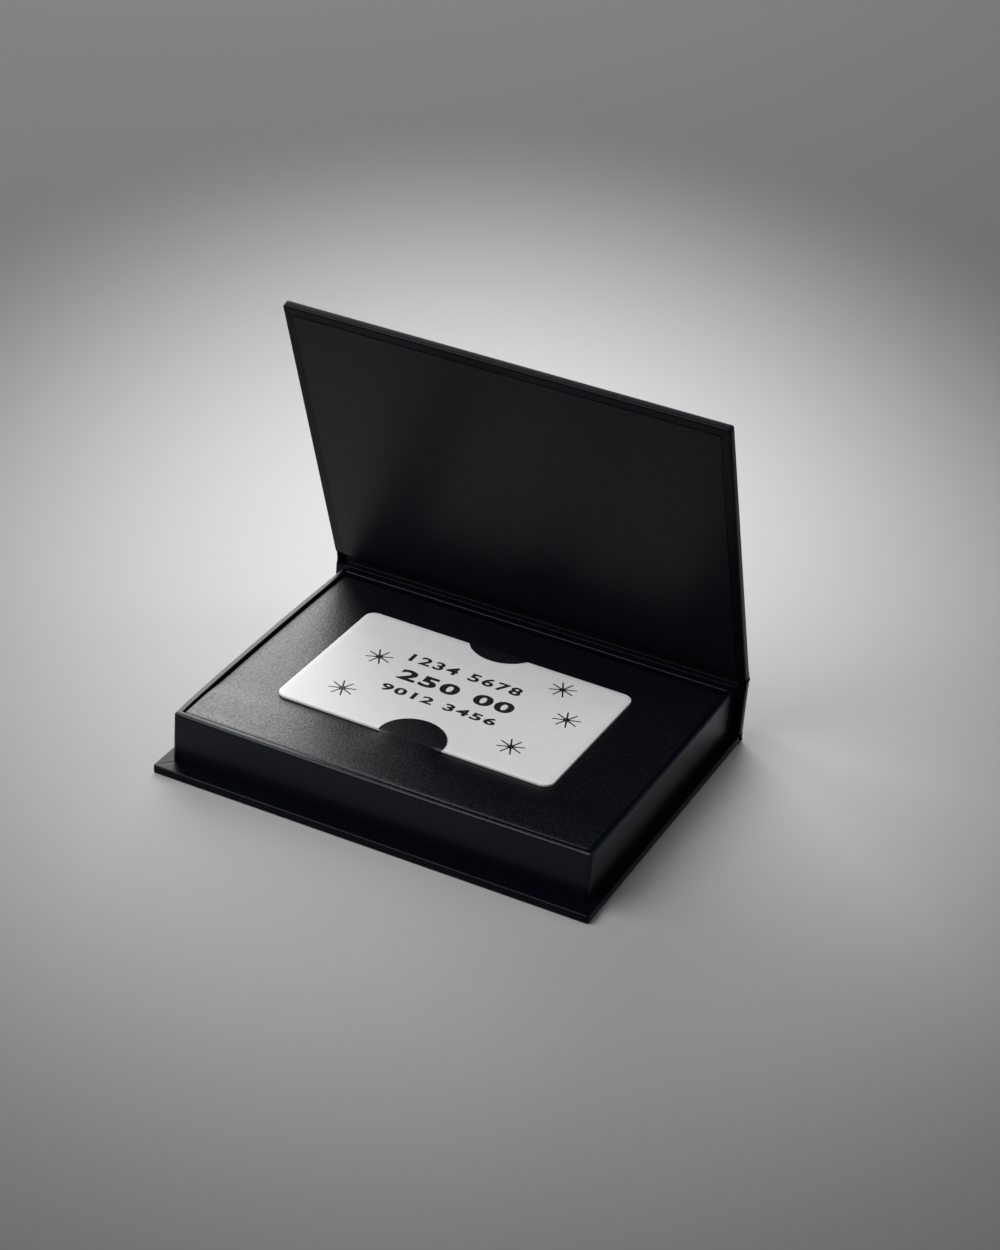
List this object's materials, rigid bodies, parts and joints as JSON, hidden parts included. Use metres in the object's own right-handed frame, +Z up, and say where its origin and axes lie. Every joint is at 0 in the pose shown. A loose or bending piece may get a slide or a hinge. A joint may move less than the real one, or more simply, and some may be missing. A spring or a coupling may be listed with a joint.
{
  "type": "gift card holder box",
  "caption": "Book-style rigid box in black paper with a hinged lid and spine, a shallow tray and a folded platform whose half-moon tabs hold a white plastic card.",
  "frame": {"origin": "under the middle of the tray, on the face that the box rests on", "axes": "+X along the hinges to the right as seen from the front, +Y from the front edge to the spine, +Z up"},
  "size_m": [0.133, 0.1045, 0.118],
  "materials": {
    "greyboard": "matte",
    "black_paper": "satin",
    "lining_paper": "satin",
    "platform_card": "satin",
    "stay_paper": "matte",
    "card_plastic": "satin",
    "plated_steel": "bright"
  },
  "bodies": {
    "base": {"base_board": "greyboard", "base_wrap": "black_paper", "base_lining": "lining_paper", "tray_board": "greyboard", "tray_corner_stays": "stay_paper", "tray_wrap": "black_paper", "insert_platform": "platform_card", "keeper_discs": "plated_steel", "lower_crease": "black_paper"},
    "spine": {"spine_board": "greyboard", "spine_wrap": "black_paper", "spine_lining": "lining_paper", "upper_crease": "black_paper"},
    "lid": {"lid_board": "greyboard", "lid_wrap": "black_paper", "lid_lining": "lining_paper", "lid_magnets": "plated_steel"},
    "front_tab": {"front_tab": "platform_card"},
    "back_tab": {"back_tab": "platform_card"},
    "card": {"gift_card": "card_plastic"}
  },
  "joints": [
    {"name": "spine_hinge", "type": "hinge", "parent": "base", "child": "spine", "pos_m": [0, 0.051, 0], "axis": [-1, 0, 0], "range_deg": [0, 90], "deforming": ["lower_crease"]},
    {"name": "lid_hinge", "type": "hinge", "parent": "spine", "child": "lid", "pos_m": [0, 0.051, 0.0208], "axis": [1, 0, 0], "range_deg": [-111.6, 68.4], "deforming": ["upper_crease"]},
    {"name": "front_tab_flex", "type": "hinge", "parent": "base", "child": "front_tab", "pos_m": [-0.0022, -0.02544, 0.01705], "axis": [1, 0, 0], "range_deg": [0, 80], "stiffness_Nm_per_rad": 0.0005, "springref_deg": -5.73},
    {"name": "back_tab_flex", "type": "hinge", "parent": "base", "child": "back_tab", "pos_m": [-0.0022, 0.02984, 0.01705], "axis": [-1, 0, 0], "range_deg": [0, 80], "stiffness_Nm_per_rad": 0.0005, "springref_deg": -5.73},
    {"name": "card_slide", "type": "slide", "parent": "base", "child": "card", "axis": [0.9999, -0.0122, 0], "range_m": [-0.0158, 0.0206]}
  ]
}
